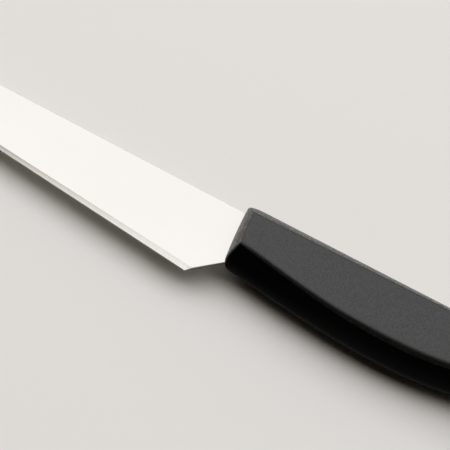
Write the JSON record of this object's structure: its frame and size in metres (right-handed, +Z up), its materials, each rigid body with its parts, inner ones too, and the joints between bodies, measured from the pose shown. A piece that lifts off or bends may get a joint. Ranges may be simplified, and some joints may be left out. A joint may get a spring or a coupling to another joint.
{
  "type": "cheese knife",
  "caption": "Cheese knife with a stamped steel blade, ground edge and upturned forked tip, its tang keyed into a moulded black plastic handle with flat sides.",
  "frame": {"origin": "on the table under the middle of the knife's bounding box, the knife lying on its side on the lower flat of its handle", "axes": "+X from the tip of the blade to the butt of the handle, +Y from the cutting edge to the spine, +Z up, square to the blade"},
  "size_m": [0.242, 0.0394, 0.0135],
  "materials": {
    "blade_steel": "satin, ground fine along the cutting edge",
    "handle_plastic": "matte, finely grained black"
  },
  "bodies": {
    "root": {"blade": "blade_steel", "handle": "handle_plastic"}
  },
  "joints": []
}
